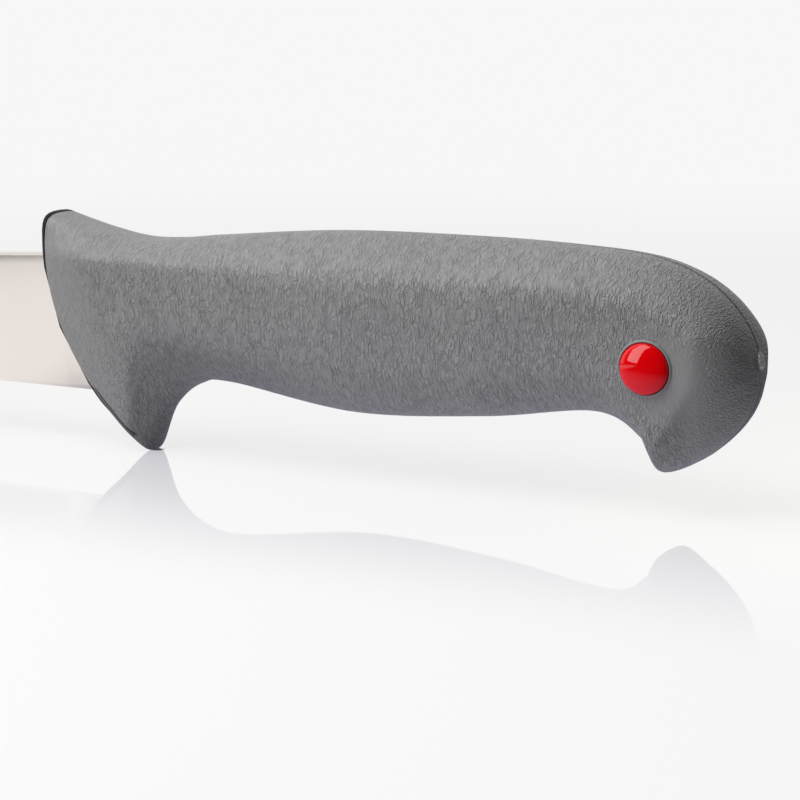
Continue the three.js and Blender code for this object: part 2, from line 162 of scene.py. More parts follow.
# Where the grain is fainter
PAD_CENTRE = (4.2 * MM, -1.5 * MM)  # of the smooth pad at the pin, from the pin's axis
PAD_STRETCH = 1.3  # its height against its length
PAD_EDGE = (3 * MM, 8 * MM)  # radii between which the grain comes back
PAD_GRAIN = 0.22  # strength that is left inside
ROOF_SLOPE = (0.25, 0.8)  # upward slopes between which it gets fainter
ROOF_FAINTER = 0.15  # and by how much
FRONT_STATIONS = (0.1, 2.2)  # stations between which it comes up at the front
FRONT_GRAIN = 0.55  # and its strength before them
END_STATIONS = (-0.5, 0.3)  # about the last station: where the grain of the butt begins

# Pin
PIN_X = (socket_low.x + socket_high.x) / 2
PIN_Z = (socket_low.z + socket_high.z) / 2
PIN_RADIUS = (socket_high.x - socket_low.x) / 2
PIN_TOP = stud_high.y
PIN_RIM = 0.9 * MM  # straight part of the head
PIN_DOME = 1.3 * MM
PIN_SEAT = PIN_TOP - PIN_DOME - PIN_RIM
PIN_SHANK = 2.4 * MM  # radius
PIN_POST = 1.1 * MM  # radius
PIN_CLEARANCE = 0.3 * MM
PIN_SEGMENTS = 96
DOME_STEPS = 22
RECESS_GAP = 0.06 * MM  # seen between head and skin
RECESS_RADIUS = PIN_RADIUS + RECESS_GAP
LIP_WIDTH = 0.5 * MM  # of the raised lip round the recess
LIP_HEIGHT = 0.3 * MM
LIP_PROFILE = ((0, -4), (0, 0.3), (0.12, 0.75), (0.35, 1), (0.6, 0.85), (0.85, 0.35), (1.1, -0.6))
LIP_LEVEL = 1.3  # lip widths from the recess, where the skin's level is taken

# Blade
SPINE_RADIUS = blade_high.y
SPINE_EASE = 0.34  # broken edges of the spine, as a share of half its thickness
SPINE_CROWN = 1.5  # depth to which the sides below them are crowned, likewise
CROWN_SLOPE = math.tan(math.radians(0.5))  # of the side at the top of the crown
EDGE_TAPER = math.tan(math.radians(3.1))
BLADE_HEIGHT = 25.9 * MM
BLADE_LENGTH = FRONT - blade_low.x
BELLY_START = 0.62
BELLY_CORNER = 0.94
POINT_DROP = 3 * MM
BEVEL_HEIGHT = 0.8 * MM
BEVEL_HALF = 0.25 * MM
BEVEL_SHARE = 0.25  # most of the blade's height that it takes at the point
FRONT_HALF = 0.3 * MM  # half thickness above the edge at the handle
HEEL_DEPTH = 12 * MM
HEEL_HALF = 0.6 * MM
GROUND_END = 1 * MM
STRAIGHT_ROWS = 40
BELLY_ROWS = 60
CROWN_ROWS = 9
TANG_TOP = -3.6 * MM
TANG_BOTTOM = -17.4 * MM
TANG_TIP = 4.5 * MM
TANG_THICKNESS = 2.6 * MM
TANG_HOLE = 3 * MM
TANG_HOLES = (0.4, 0.75)
TANG_CLEAR = 27 * MM  # from the tang's end to the pin's axis
TIP_POINTS = 25
HOLE_POINTS = 32
WELD = 1e-7

# Finishes: pairs of colours between which each wavers, scales of their marks per metre
GRIP_GREYS = ((0.212, 0.213, 0.215, 1), (0.228, 0.228, 0.229, 1))
# painted shade in the creases of the grain
CREASE_SHADE_GREY = (0.07, 0.071, 0.075, 1)
# painted shade in the seam's groove and in the gap at the guard foot, and the black of the core's
# rim there
SHADE_AND_RIM_BLACK = (0.012, 0.012, 0.013, 1)
# pale plastic of the gate scar, made paler still as painted highlight where it stands out into the
# light
SCAR_PALE_AND_HIGHLIGHT = (0.95, 0.93, 0.88, 1)
GRIP_ROUGHNESS = 0.44
GRIP_POLISH = 0.06  # how much smoother the high parts of the grain are
GRIP_IOR = 1.46
CORE_BLACKS = ((0.006, 0.006, 0.007, 1), (0.012, 0.012, 0.013, 1))
CORE_FLOW = (120, 400, 400)
CORE_FINE = (4000, 4000, 4000)
CORE_RELIEF = 0.02 * MM
CORE_IOR = 1.36
STEEL_TONES = ((0.81, 0.755, 0.68, 1), (0.86, 0.81, 0.735, 1))
STEEL_LINES = (9000, 500, 120)
STEEL_CLOUDS = (40, 200, 60)
STEEL_RELIEF = 0.006 * MM
PIN_REDS = ((0.6, 0.0003, 0.002, 1), (0.67, 0.0005, 0.003, 1))
PIN_DEPTHS = (260, 260, 260)
PIN_MARKS = (900, 900, 2600)
PIN_RELIEF = 0.004 * MM
PIN_IOR = 1.58

# Camera, from the photograph, in which the knife leans against the level of the table
VIEW_AZIMUTH = math.radians(29.5)
VIEW_ELEVATION = math.radians(10.1)
KNIFE_LEAN = math.radians(3.3)
VIEW_DISTANCE = 441 * MM
VIEW_CENTRE = Vector((101.93, 0, 10.92)) * MM
LENS = 112.5  # mm
SENSOR = 36  # mm
NEAR_CLIP = 10 * MM
GUARD_TIP_X = 48.8 * MM  # touches the table

# Lights: a tall softbox, placed as seen from the pin, and a broad soft light above
SOFTBOX_AZIMUTH = math.radians(-33)
SOFTBOX_ELEVATION = math.radians(34)
SOFTBOX_DISTANCE = 0.36
SOFTBOX_SIZE = (0.172, 0.45)
SOFTBOX_POWER = 0.74
SOFTBOX_ROLL = math.radians(-14)
TOP_PLACE = Vector((-0.14, -0.22, 0.66))
TOP_TARGET = Vector((0.06, 0, 0.02))
TOP_SIZE = (0.6, 0.5)
TOP_POWER = 6.3
TOP_COLOUR = (1, 0.985, 0.965)

# World: brightness for the camera, and for the rest by direction, as parts along x and y
BACKDROP = 0.93
DIMMEST = 0.01
WALL_SHINE = 0.92  # mirrored wall behind the knife
WALL_RISE = (-0.2, 0.6)  # y over which it comes up
WALL_FALL = (0.2, 0.8)  # x over which it gets darker at the right
WALL_LOSS = 0.7
ROOF_SHINE = 0.9  # mirrored roof at the left
ROOF_SIDE = (-0.1, -0.4)
ROOF_FRONT = (-0.55, -0.25)
AMBIENT_LEFT = 0.06  # diffuse light from the left
AMBIENT_SIDE = (0.5, -0.6)

# Table: sizes in metres
TABLE_REACH = 3.0
TABLE_FADE = (0.22, 0.6)  # distances from the tip over which it ends in the backdrop
TABLE_FRONT = (0.775, 0.775, 0.775, 1)
TABLE_BACK = (0.75, 0.75, 0.81, 1)
# painted light: the table glows brighter at the right, over the knife's shadow there
TABLE_RIGHT_PAINTED_LIGHT = (0.85, 0.85, 0.87, 1)
RIGHT_EDGE = (0.12, 0.2)
LAMPLIT = (0.14, 0.14, 0.141, 1)
MIRROR_START = 0.085  # way before the knife over which the table starts to mirror
MIRROR_SHARE = 0.36
MIRROR_COLOUR = (1, 1, 0.88, 1)
MIRROR_ROUGHNESS = 0.03
CONTACT_SIZE = (1.7 * MM, 1.3 * MM)  # painted contact shadow, a dark spot round the place where the tip touches it
CONTACT_EDGE = (1.1, 0.7)
CONTACT_SHADOW = (0.06, 0.06, 0.065, 1)
GRIP_MIDDLE = (0.098, 0, 0)  # below the middle of the grip
BOUNCE_EDGE = (0.18, 0.05)  # distances from there over which its diffuse glow comes up
BOUNCE_GAP = (-0.01, 0.05)  # and distances from the tip
BOUNCE_DARK = (0.06, 0.06, 0.063, 1)
BOUNCE_LIGHT = (0.88, 0.87, 0.92, 1)
SHEEN_EDGE = (0.03, 0.14)  # distances over which what reflections see of it gets dark
SHEEN_LIGHT = (0.5, 0.43, 0.62, 1)
SHEEN_DARK = (0.01, 0.01, 0.012, 1)
SPOT_CENTRE = (-0.06, -0.09, 0)  # bright spot before the blade that reflections see
SPOT_STRETCH = (2.1, 0.8, 1)
SPOT_EDGE = (0.22, 0.14)
SPOT_LIGHT = (1.0, 0.99, 1.03, 1)


def smoothstep(low, high, value):
    """0 below low, 1 above high, smooth between; low may be the larger one."""
    t = np.clip((value - low) / (high - low), 0, 1)
    return t * t * (3 - 2 * t)


def plug(socket, value):
    """Links a wire to a socket, or sets the socket to a number, colour or vector."""
    if isinstance(value, Wire):
        value.tree.links.new(value.socket, socket)
    else:
        socket.default_value = value


class Wire:
    """An output socket of a node tree. Operators on wires and numbers add Math nodes."""

    def __init__(self, tree, socket=None):
        self.tree = tree
        self.socket = socket

    def node(self, kind, settings=None, inputs=None, out=0):
        """Adds a node: settings first, then values or wires for its inputs by name or number."""
        node = self.tree.nodes.new(kind)
        for name, value in (settings or {}).items():
            setattr(node, name, value)
        for key, value in (inputs or {}).items():
            plug(node.inputs[key], value)
        return Wire(self.tree, node.outputs[out])

    def math(self, operation, *terms):
        return self.node("ShaderNodeMath", {"operation": operation}, dict(enumerate(terms)))

    def __add__(self, other):
        return self.math("ADD", self, other)

    __radd__ = __add__

    def __sub__(self, other):
        return self.math("SUBTRACT", self, other)

    def __rsub__(self, other):
        return self.math("SUBTRACT", other, self)

    def __mul__(self, other):
        return self.math("MULTIPLY", self, other)

    def __abs__(self):
        return self.math("ABSOLUTE", self)

    def larger(self, other):
        return self.math("MAXIMUM", self, other)

    def at_least(self, low):
        """A wire that runs from 0 to 1, raised to run from low to 1."""
        return low + self * (1 - low)

    def step(self, low, high):
        """Smooth step from 0 at low to 1 at high."""
        inputs = {"Value": self, "From Min": low, "From Max": high}
        return self.node("ShaderNodeMapRange", {"interpolation_type": "SMOOTHSTEP"}, inputs)

    def stretched(self, factors):
        """A vector wire times a vector."""
        return self.node("ShaderNodeVectorMath", {"operation": "MULTIPLY"}, {0: self, 1: factors})

    def shifted(self, other):
        """A vector wire plus a vector or vector wire."""
        return self.node("ShaderNodeVectorMath", {"operation": "ADD"}, {0: self, 1: other})

    def away_from(self, place):
        """A vector wire minus a vector."""
        return self.shifted(tuple(-value for value in place))

    def length(self):
        """Length of a vector wire."""
        return self.node("ShaderNodeVectorMath", {"operation": "LENGTH"}, {0: self}, 1)

    def dot(self, vector):
        """Dot product of a vector wire and a vector."""
        inputs = {0: self, 1: tuple(vector)}
        return self.node("ShaderNodeVectorMath", {"operation": "DOT_PRODUCT"}, inputs, 1)

    def part(self, axis):
        """Part of a vector wire along x (0), y (1) or z (2)."""
        return self.node("ShaderNodeSeparateXYZ", None, {0: self}, axis)

    def noise(self, detail, roughness, out=0):
        """Noise with features about one unit of this vector wire across."""
        inputs = {"Vector": self, "Scale": 1, "Detail": detail, "Roughness": roughness}
        return self.node("ShaderNodeTexNoise", {"noise_dimensions": "3D"}, inputs, out)

    def bump(self, distance, strength=1.0):
        """Normals of a surface that has this wire as its height."""
        inputs = {"Strength": strength, "Distance": distance, "Height": self}
        return self.node("ShaderNodeBump", None, inputs)

    def blend(self, low, high):
        """Colour between two colours or colour wires, by this value."""
        inputs = {0: self, 6: low, 7: high}
        return self.node("ShaderNodeMix", {"data_type": "RGBA"}, inputs, 2)


# Grip: section curves and the fine skin

def station_values(u):
    """Values of the stations at places u, on smooth lines through all of them."""
    first = np.minimum(u.astype(int), LAST_STATION - 1)
    t = (u - first)[:, None]
    rows = np.vstack([STATIONS[:1], STATIONS, STATIONS[-1:]]) * STATION_SCALE
    a, b, c, d = (rows[first + k] for k in range(4))
    return (2 * b + (c - a) * t + (2 * a - 5 * b + 4 * c - d) * t ** 2
            + (3 * b - a - 3 * c + d) * t ** 3) / 2


def conic(a, corner, b, crispness, t):
    """Points of the conics from a to b that lean into their corners."""
    t = t[None, :, None]
    weight = crispness[:, None, None]
    parts = (1 - t) ** 2, 2 * weight * t * (1 - t), t ** 2
    total = parts[0] + parts[1] + parts[2]
    return (a[:, None] * parts[0] + corner[:, None] * parts[1] + b[:, None] * parts[2]) / total


def half_sections(values, inset, lift):
    """Half sections from ridge to keel, as (half-width, share of the way down), for each row."""
    shoulder, shoulder_share, corner, corner_share, ridge, keel = values[:, 5:11].T
    length = station_length(values)
    start = inset / length
    end = 1 - lift / length
    narrow = 1 - inset / shoulder
    zero = np.zeros_like(length)
    control = [np.stack(pair, -1) for pair in (
        (zero, start),
        (ridge * narrow, start),
        (shoulder - inset, start + shoulder_share * (end - start)),
        (corner - inset, start + corner_share * (end - start)),
        (keel * narrow, end),
        (zero, end),
    )]
    middles = [(control[k] + control[k + 1]) / 2 for k in (1, 2, 3)]
    ends = [control[0], *middles, control[5]]
    flat = np.full_like(length, FLAT_CRISPNESS)
    crispness = [flat, values[:, 11], values[:, 12], flat]
    t = np.linspace(0, 1, CURVE_STEPS + 1)
    curves = [conic(ends[k], control[k + 1], ends[k + 1], crispness[k], t) for k in range(4)]
    return np.concatenate([curves[0], *(curve[:, 1:] for curve in curves[1:])], axis=1)


def station_length(values):
    return np.hypot(values[:, 2] - values[:, 0], values[:, 3] - values[:, 1])


def grip_rows(u, cells, inset=0, lift=0):
    """Points of the near half of the grip in a row for each u, evenly spaced between the narrow
    columns of the seam at ridge and keel, and their shares of the way down."""
    values = station_values(u)
    sections = half_sections(values, inset, lift)
    length = station_length(values)
    points = []
    shares = []
    for row, section, line in zip(values, sections, length):
        steps = np.hypot(np.diff(section[:, 0]), np.diff(section[:, 1]) * line)
        run = np.concatenate([[0], np.cumsum(steps)])
        seam = SEAM_COLUMNS
        inner = np.linspace(seam[-1], run[-1] - seam[-1], cells + 1)
        places = np.concatenate([seam[:-1], inner, (run[-1] - seam[:-1])[::-1]])
        width = np.interp(places, run, section[:, 0])
        share = np.interp(places, run, section[:, 1])
        x = row[0] + (row[2] - row[0]) * share + row[4] * 4 * share * (1 - share)
        z = row[1] + (row[3] - row[1]) * share
        points.append(np.stack([FRONT + x, -width, SPINE + z], -1))
        shares.append(share)
    return np.array(points), np.array(shares)


def even_places(points, spacing):
    """Row numbers, with fractions, that are evenly spaced along a column on the side."""
    column = points[:, points.shape[1] * 2 // 5]
    run = np.concatenate([[0], np.cumsum(np.linalg.norm(np.diff(column, axis=0), axis=1))])
    count = max(2, int(round(run[-1] / spacing)))
    return np.interp(np.linspace(0, run[-1], count + 1), run, np.arange(len(run)))


def between_rows(rows, places):
    """Rows at fractional row numbers."""
    low = np.minimum(places.astype(int), len(rows) - 2)
    part = (places - low).reshape(-1, *([1] * (rows.ndim - 1)))
    return rows[low] * (1 - part) + rows[low + 1] * part


def behind_rim(points, shares):
    """Sets the front of the skin back, so that it starts behind the core's black rim."""
    share = shares[0]
    ends = RIM_TOP + (RIM_FOOT - RIM_TOP) * share
    rim = ends + (RIM_WAIST - ends) * np.sin(np.pi * np.clip(share, 0, 1))
    set_back = (rim + RIM_GAP) * (1 - smoothstep(*RIM_END, share))
    moved = points.copy()
    numbers = np.arange(STATION_ROWS + 1)
    for column, distance in enumerate(set_back):
        line = points[:STATION_ROWS + 1, column]
        start = np.interp(distance, line[:, 0] - line[0, 0], numbers)
        places = start + numbers * (1 - start / STATION_ROWS)
        moved[:STATION_ROWS + 1, column] = between_rows(line, places)
    return moved


def butt_rows(last, nose, count):
    """Rows from the last row of the grip round to the nose, without that row and the nose."""
    turn = nose + (last - nose) * BUTT_FULLNESS
    t = np.linspace(0, 1, count + 1)[1:-1, None, None]
    return (1 - t) ** 2 * last + 2 * t * (1 - t) * turn + t ** 2 * nose


def soften_crease(rows, crease):
    """Rounds the crease at a row: a little everywhere, widely where the roof runs over it."""
    share = (rows[crease, :, 2] - rows[crease, 0, 2]) / (rows[crease, -1, 2] - rows[crease, 0, 2])
    roof = smoothstep(*CREASE_EDGE[::-1], share)[:, None]
    for reach, strength in zip(CREASE_REACH, (1, roof)):
        first, last = crease - reach, crease + reach
        leave = (rows[first + 1] - rows[first - 1]) * reach
        arrive = (rows[last + 1] - rows[last - 1]) * reach
        t = np.linspace(0, 1, 2 * reach + 1)[:, None, None]
        bridge = ((2 * t ** 3 - 3 * t ** 2 + 1) * rows[first] + (t ** 3 - 2 * t ** 2 + t) * leave
                  + (3 * t ** 2 - 2 * t ** 3) * rows[last] + (t ** 3 - t ** 2) * arrive)
        rows[first:last + 1] += (bridge - rows[first:last + 1]) * strength


def both_halves(near):
    """Full rings from near halves: down the near side and up the far side."""
    far = near[:, -2:0:-1] * np.array([1, -1, 1])
    return np.concatenate([near, far], axis=1)


def ring_faces(rows, columns):
    """Quads between consecutive closed rings of points."""
    row, column = np.meshgrid(np.arange(rows - 1), np.arange(columns), indexing="ij")
    a = row * columns + column
    b = row * columns + (column + 1) % columns
    return np.stack([a, b, b + columns, a + columns], -1).reshape(-1, 4).tolist()


def closed_faces(rows, columns):
    """Quads of rings that close into a loop."""
    last = (rows - 1) * columns
    joint = [(last + k, last + (k + 1) % columns, (k + 1) % columns, k) for k in range(columns)]
    return ring_faces(rows, columns) + joint


def cap_faces(ring_start, columns, pole):
    """Triangles from a ring to a pole."""
    return [(ring_start + k, ring_start + (k + 1) % columns, pole) for k in range(columns)]


def capped_faces(rows, columns):
    """Faces of rings that end in a pole on both sides; the poles come after the rings."""
    first = [face[::-1] for face in cap_faces(0, columns, rows * columns)]
    last = cap_faces((rows - 1) * columns, columns, rows * columns + 1)
    return ring_faces(rows, columns) + first + last


def face_outwards(mesh, weld=0):
    """Turns a mesh's faces outwards, after joining points that are closer than weld."""
    shape = bmesh.new()
    shape.from_mesh(mesh)
    if weld:
        bmesh.ops.remove_doubles(shape, verts=shape.verts, dist=weld)
    bmesh.ops.recalc_face_normals(shape, faces=shape.faces)
    shape.to_mesh(mesh)
    shape.free()
    return mesh


def skin_mesh():
    """Closed skin of the grip: fine outside with seam and gate scar, plain inside."""
    u = np.linspace(0, LAST_STATION, LAST_STATION * STATION_ROWS + 1)
    cells = int(round(HALF_GIRTH / CELL))
    points, shares = grip_rows(u, cells)
    points = behind_rim(points, shares)
    places = even_places(points, CELL)
    outer = between_rows(points, places)
    butt_count = int(round(BUTT_RUN / CELL))
    crease = len(outer) - 1
    outer = np.concatenate([outer, butt_rows(outer[-1], NOSE, butt_count)])
    soften_crease(outer, crease)
    round_butt = LAST_STATION + np.arange(1, butt_count) / butt_count
    station = np.concatenate([places / STATION_ROWS, round_butt])
    seam_cut(outer, station)

    inner_u = np.linspace(0, LAST_STATION, INNER_ROWS)
    inner, _ = grip_rows(inner_u, cells, SKIN, KEEL_SKIN)
    inner[0, :, 0] += RIM_FOOT + RIM_GAP
    inner_nose = NOSE - np.array([SKIN, 0, 0])
    inner = np.concatenate([inner, butt_rows(inner[-1], inner_nose, INNER_BUTT_ROWS)])

    rings = both_halves(np.concatenate([inner[::-1], outer]))
    rows, columns = rings.shape[:2]
    vertices = np.concatenate([rings.reshape(-1, 3), [inner_nose, NOSE]])
    mesh = bpy.data.meshes.new("grip_skin_fine")
    mesh.from_pydata(vertices.tolist(), [], capped_faces(rows, columns))
    mesh.update()
    outside = np.zeros((rows, columns))
    outside[len(inner):] = 1
    ring_station = np.zeros((rows, columns))
    ring_station[len(inner):] = station[:, None]
    seam = seam_shade_mask(rings, inner, station)
    add_masks(mesh, vertices, np.append(outside, [0, 1]), np.append(seam, [0, 0]),
              np.append(ring_station, [0, LAST_STATION + 1]))
    return mesh


def seam_cut(outer, station):
    """Cuts the groove of the mould seam into the columns next to the middle plane."""
    depth = SEAM_DEPTH * np.clip(1 - SEAM_COLUMNS / SEAM_WIDTH, 0, 1)
    top = smoothstep(*SEAM_TOP, station)[:, None] * depth
    below = smoothstep(*SEAM_BELOW, station)[:, None] * depth
    centre = np.array([FRONT + SEAM_CENTRE * HANDLE_LENGTH, 0, NOSE[2]])
    for columns, amount in ((slice(0, len(depth)), top), (slice(-1, -len(depth) - 1, -1), below)):
        towards = centre - outer[:, columns]
        towards[..., 1] = 0
        towards /= np.linalg.norm(towards, axis=-1, keepdims=True)
        outer[:, columns] += towards * amount[..., None]


def seam_shade_mask(rings, inner, station):
    """1 in the seam's groove, where its shade is painted, 0 elsewhere, for each point of the rings.
    """
    mask = np.zeros(rings.shape[:2])
    groove = np.clip(1 - SEAM_COLUMNS / (SEAM_WIDTH * SEAM_SHADE), 0, 1)
    middle = rings.shape[1] // 2
    top = smoothstep(*SEAM_TOP, station)
    below = smoothstep(*SEAM_BELOW, station)
    for offset, strength in enumerate(groove):
        for side in (1, -1):
            mask[len(inner):, (side * offset) % rings.shape[1]] = top * strength
            mask[len(inner):, middle + side * offset] = below * strength
    return mask.ravel()


def add_masks(mesh, vertices, outside, seam, station):
    """Stores where the grain shows, where the seam runs with its painted shade and where the gate
    left its scar.
    """
    x, y, z = vertices.T
    pad_x, pad_z = PIN_X + PAD_CENTRE[0], PIN_Z + PAD_CENTRE[1]
    from_pad = np.hypot(x - pad_x, (z - pad_z) / PAD_STRETCH)
    grain = PAD_GRAIN + (1 - PAD_GRAIN) * smoothstep(*PAD_EDGE, from_pad)
    normals = np.zeros(len(vertices) * 3)
    mesh.vertex_normals.foreach_get("vector", normals)
    grain *= 1 - ROOF_FAINTER * smoothstep(*ROOF_SLOPE, normals[2::3])
    grain *= FRONT_GRAIN + (1 - FRONT_GRAIN) * smoothstep(*FRONT_STATIONS, station)
    grain *= outside
    end_low, end_high = END_STATIONS
    pebbles = smoothstep(LAST_STATION + end_low, LAST_STATION + end_high, station)
    from_scar = np.hypot(y / SCAR_SIZE[0], (z - NOSE[2] - SCAR_RISE) / SCAR_SIZE[1])
    scar = smoothstep(*SCAR_EDGE, from_scar) * (x > NOSE[0] - SCAR_REACH) * outside
    masks = (("grain", grain), ("pebbles", pebbles), ("seam", seam * (1 - scar)), ("scar", scar))
    for name, values in masks:
        attribute = mesh.attributes.new(name, "FLOAT", "POINT")
        attribute.data.foreach_set("value", values.astype(np.float32))


def grain_place(position, size):
    """Position in grain cells of a size in mm, with bent and wavering borders."""
    millimetres = position.stretched((1000, 1000, 1000))
    moved = millimetres
    for scale, reach in (GRAIN_BEND, GRAIN_WAVER):
        push = millimetres.stretched((scale, scale, scale)).noise(1, 0.5, 1)
        moved = moved.shifted(push.stretched(reach))
    return moved.stretched(tuple(1 / s for s in size))


def grain_swell(position):
    """Broad part of the grain: long swells with creases between them, 0 in a crease."""
    return abs(grain_place(position, SWELL_SIZE).noise(1, 0.5) - 0.5) * 2


def grain_cells(position, size, border):
    """Fine part of the grain: rounded cells, 0 on their borders and 1 inside."""
    settings = {"voronoi_dimensions": "3D", "feature": "DISTANCE_TO_EDGE"}
    inputs = {"Vector": grain_place(position, size), "Scale": 1, "Randomness": 1}
    return position.node("ShaderNodeTexVoronoi", settings, inputs).step(0, border)


def grain_tree():
    """Geometry nodes that raise the broad part of the grain and the gate scar on the skin."""
    tree = bpy.data.node_groups.new("moulded_grain", "GeometryNodeTree")
    sockets = (
        ("Skin", "NodeSocketGeometry"), ("Depth", "NodeSocketFloat"),
        ("Scar height", "NodeSocketFloat"), ("Finish", "NodeSocketMaterial"),
    )
    for name, kind in sockets:
        tree.interface.new_socket(name, in_out="INPUT", socket_type=kind)
    tree.interface.new_socket("Skin", in_out="OUTPUT", socket_type="NodeSocketGeometry")
    source = tree.nodes.new("NodeGroupInput")
    skin, depth, scar_height, finish = (Wire(tree, socket) for socket in source.outputs[:4])
    start = Wire(tree)
    position = start.node("GeometryNodeInputPosition")
    normal = start.node("GeometryNodeInputNormal")
    number = {"data_type": "FLOAT"}
    grain, scar = (start.node("GeometryNodeInputNamedAttribute", number, {"Name": name})
                   for name in ("grain", "scar"))
    rough = position.stretched(TORN_SCALE).noise(2, 0.6)
    swell = (grain_swell(position) - SWELL_LEVEL) * grain * depth
    height = swell + scar * scar_height * (SCAR_FLOOR + rough)
    scaling = {"operation": "SCALE"}
    offset = start.node("ShaderNodeVectorMath", scaling, {0: normal, "Scale": height})
    moved = start.node("GeometryNodeSetPosition", None, {"Geometry": skin, "Offset": offset})
    real = start.node("GeometryNodeRealizeInstances", None, {"Geometry": moved})
    dressed = start.node("GeometryNodeSetMaterial", None, {"Geometry": real, "Material": finish})
    target = tree.nodes.new("NodeGroupOutput")
    tree.links.new(dressed.socket, target.inputs[0])
    return tree


def plain_mesh(obj):
    """Mesh of an object as its modifiers leave it."""
    bpy.context.view_layer.update()
    graph = bpy.context.evaluated_depsgraph_get()
    return bpy.data.meshes.new_from_object(obj.evaluated_get(graph))


def apply_changes(obj):
    """Turns an object's modifiers into a plain mesh."""
    mesh = plain_mesh(obj)
    obj.modifiers.clear()
    obj.data = mesh


def combine(obj, tool, operation):
    """Cuts a tool out of an object or joins it on, and takes the tool away."""
    change = obj.modifiers.new("combine", "BOOLEAN")
    change.operation = operation
    change.object = tool
    change.solver = "EXACT"
    apply_changes(obj)
    bpy.data.objects.remove(tool)


def new_object(name, data, material=None):
    """Puts an object in the scene, with a material where one is given."""
    obj = bpy.data.objects.new(name, data)
    bpy.context.scene.collection.objects.link(obj)
    if material:
        data.materials.append(material)
    return obj


def smooth(obj, angle):
    """Smooth shading, sharp where faces meet at more than an angle in degrees."""
    obj.data.polygons.foreach_set("use_smooth", [True] * len(obj.data.polygons))
    obj.data.set_sharp_from_angle(angle=math.radians(angle))
    return obj


def grip_skin(material):
    """The grained skin, with a recess for each head of the pin."""
    skin = new_object("soft_grip", skin_mesh())
    grain = skin.modifiers.new("grain", "NODES")
    grain.node_group = grain_tree()
    values = {"Depth": GRAIN_DEPTH, "Scar height": SCAR_HEIGHT, "Finish": material}
    for item in grain.node_group.interface.items_tree:
        if item.in_out == "INPUT" and item.name in values:
            grain[item.identifier] = values[item.name]
    apply_changes(skin)
    combine(skin, new_object("recess_cutter", recess_mesh()), "DIFFERENCE")
    return smooth(skin, angle=50)


def recess_mesh():
    """Spindle across the handle: a wide end in each side for a pin head, a bore between."""
    wide, bore = RECESS_RADIUS, PIN_SHANK + PIN_CLEARANCE
    seat, reach = PIN_SEAT, HANDLE_WIDTH
    return turned("recess", [(0, -reach), (wide, -reach), (wide, -seat), (bore, -seat),
                             (bore, seat), (wide, seat), (wide, reach), (0, reach)])


def turned(name, profile):
    """Mesh of (radius, y) pairs turned about the pin's axis, on which they start and end."""
    angles = np.arange(PIN_SEGMENTS) * math.tau / PIN_SEGMENTS
    rings = [(PIN_X + r * np.cos(angles), np.full(PIN_SEGMENTS, y), PIN_Z + r * np.sin(angles))
             for r, y in profile[1:-1]]
    rings = np.array(rings).transpose(0, 2, 1)
    ends = [(PIN_X, profile[0][1], PIN_Z), (PIN_X, profile[-1][1], PIN_Z)]
    points = np.concatenate([rings.reshape(-1, 3), ends]).tolist()
    mesh = bpy.data.meshes.new(name)
    mesh.from_pydata(points, [], capped_faces(len(rings), PIN_SEGMENTS))
    return face_outwards(mesh)


def lip_mesh(skin, side):
    """Low rounded lip on the skin round a pin head's recess, on the near (-1) or far (1) side."""
    wide = RECESS_RADIUS
    profile = [(r * LIP_WIDTH, h * LIP_HEIGHT) for r, h in LIP_PROFILE]
    points = []
    for k in range(PIN_SEGMENTS):
        angle = k * math.tau / PIN_SEGMENTS
        out = Vector((math.cos(angle), 0, math.sin(angle)))
        start = Vector((PIN_X, side * HANDLE_WIDTH, PIN_Z)) + out * (wide + LIP_WIDTH * LIP_LEVEL)
        hit, place, _, _ = skin.ray_cast(start, Vector((0, -side, 0)))
        level = side * place.y if hit else PIN_TOP
        points.append([(PIN_X + (wide + r) * out.x, side * (level + h), PIN_Z + (wide + r) * out.z)
                       for r, h in profile])
    mesh = bpy.data.meshes.new("recess_lip")
    faces = closed_faces(PIN_SEGMENTS, len(profile))
    mesh.from_pydata(np.concatenate(points).tolist(), [], faces)
    return face_outwards(mesh)


# Pin

def head_profile():
    """Domed head from the middle of its top to the shank, as (radius, y) pairs for the far side."""
    angles = np.arange(DOME_STEPS + 1) * math.pi / (2 * DOME_STEPS)
    dome = [(PIN_RADIUS * math.sin(a), PIN_TOP - PIN_DOME * (1 - math.cos(a))) for a in angles]
    return [*dome, (PIN_RADIUS, PIN_SEAT), (PIN_SHANK, PIN_SEAT)]


def pin_half(name, side, material):
    """One half of the pin: side -1 is the socket on the near side, 1 the stud on the far side."""
    if side < 0:
        bore = PIN_POST + PIN_CLEARANCE
        mouth = -socket_high.y
        floor = -stud_low.y + PIN_CLEARANCE
        inner = [(PIN_SHANK, mouth), (bore, mouth), (bore, floor), (0, floor)]
    else:
        tip = stud_low.y
        inner = [(PIN_SHANK, -tip), (PIN_POST, -tip), (PIN_POST, tip), (0, tip)]
    profile = [(r, side * y) for r, y in [*head_profile(), *inner]]
    return smooth(new_object(name, turned(name, profile), material), angle=40)


# Blade

def edge_height(x):
    """Height of the cutting edge from the spine line; x is negative before the handle."""
    return -BLADE_HEIGHT - x * EDGE_TAPER


def blade_outline():
    """Rows along the blade: x, edge height and half thickness at the top of the bevel."""
    rows = [(HEEL_DEPTH, edge_height(HEEL_DEPTH), HEEL_HALF), (0, edge_height(0), FRONT_HALF)]
    straight = np.linspace(-GROUND_END, -BLADE_LENGTH * BELLY_START, STRAIGHT_ROWS)
    rows += [(x, edge_height(x), BEVEL_HALF) for x in straight]
    start, corner = (np.array([-BLADE_LENGTH * s, edge_height(-BLADE_LENGTH * s)])
                     for s in (BELLY_START, BELLY_CORNER))
    point = np.array([-BLADE_LENGTH, -POINT_DROP])
    for t in np.linspace(0, 1, BELLY_ROWS)[1:-1]:
        x, z = (1 - t) ** 2 * start + 2 * t * (1 - t) * corner + t ** 2 * point
        rows.append((x, z, BEVEL_HALF))
    return rows


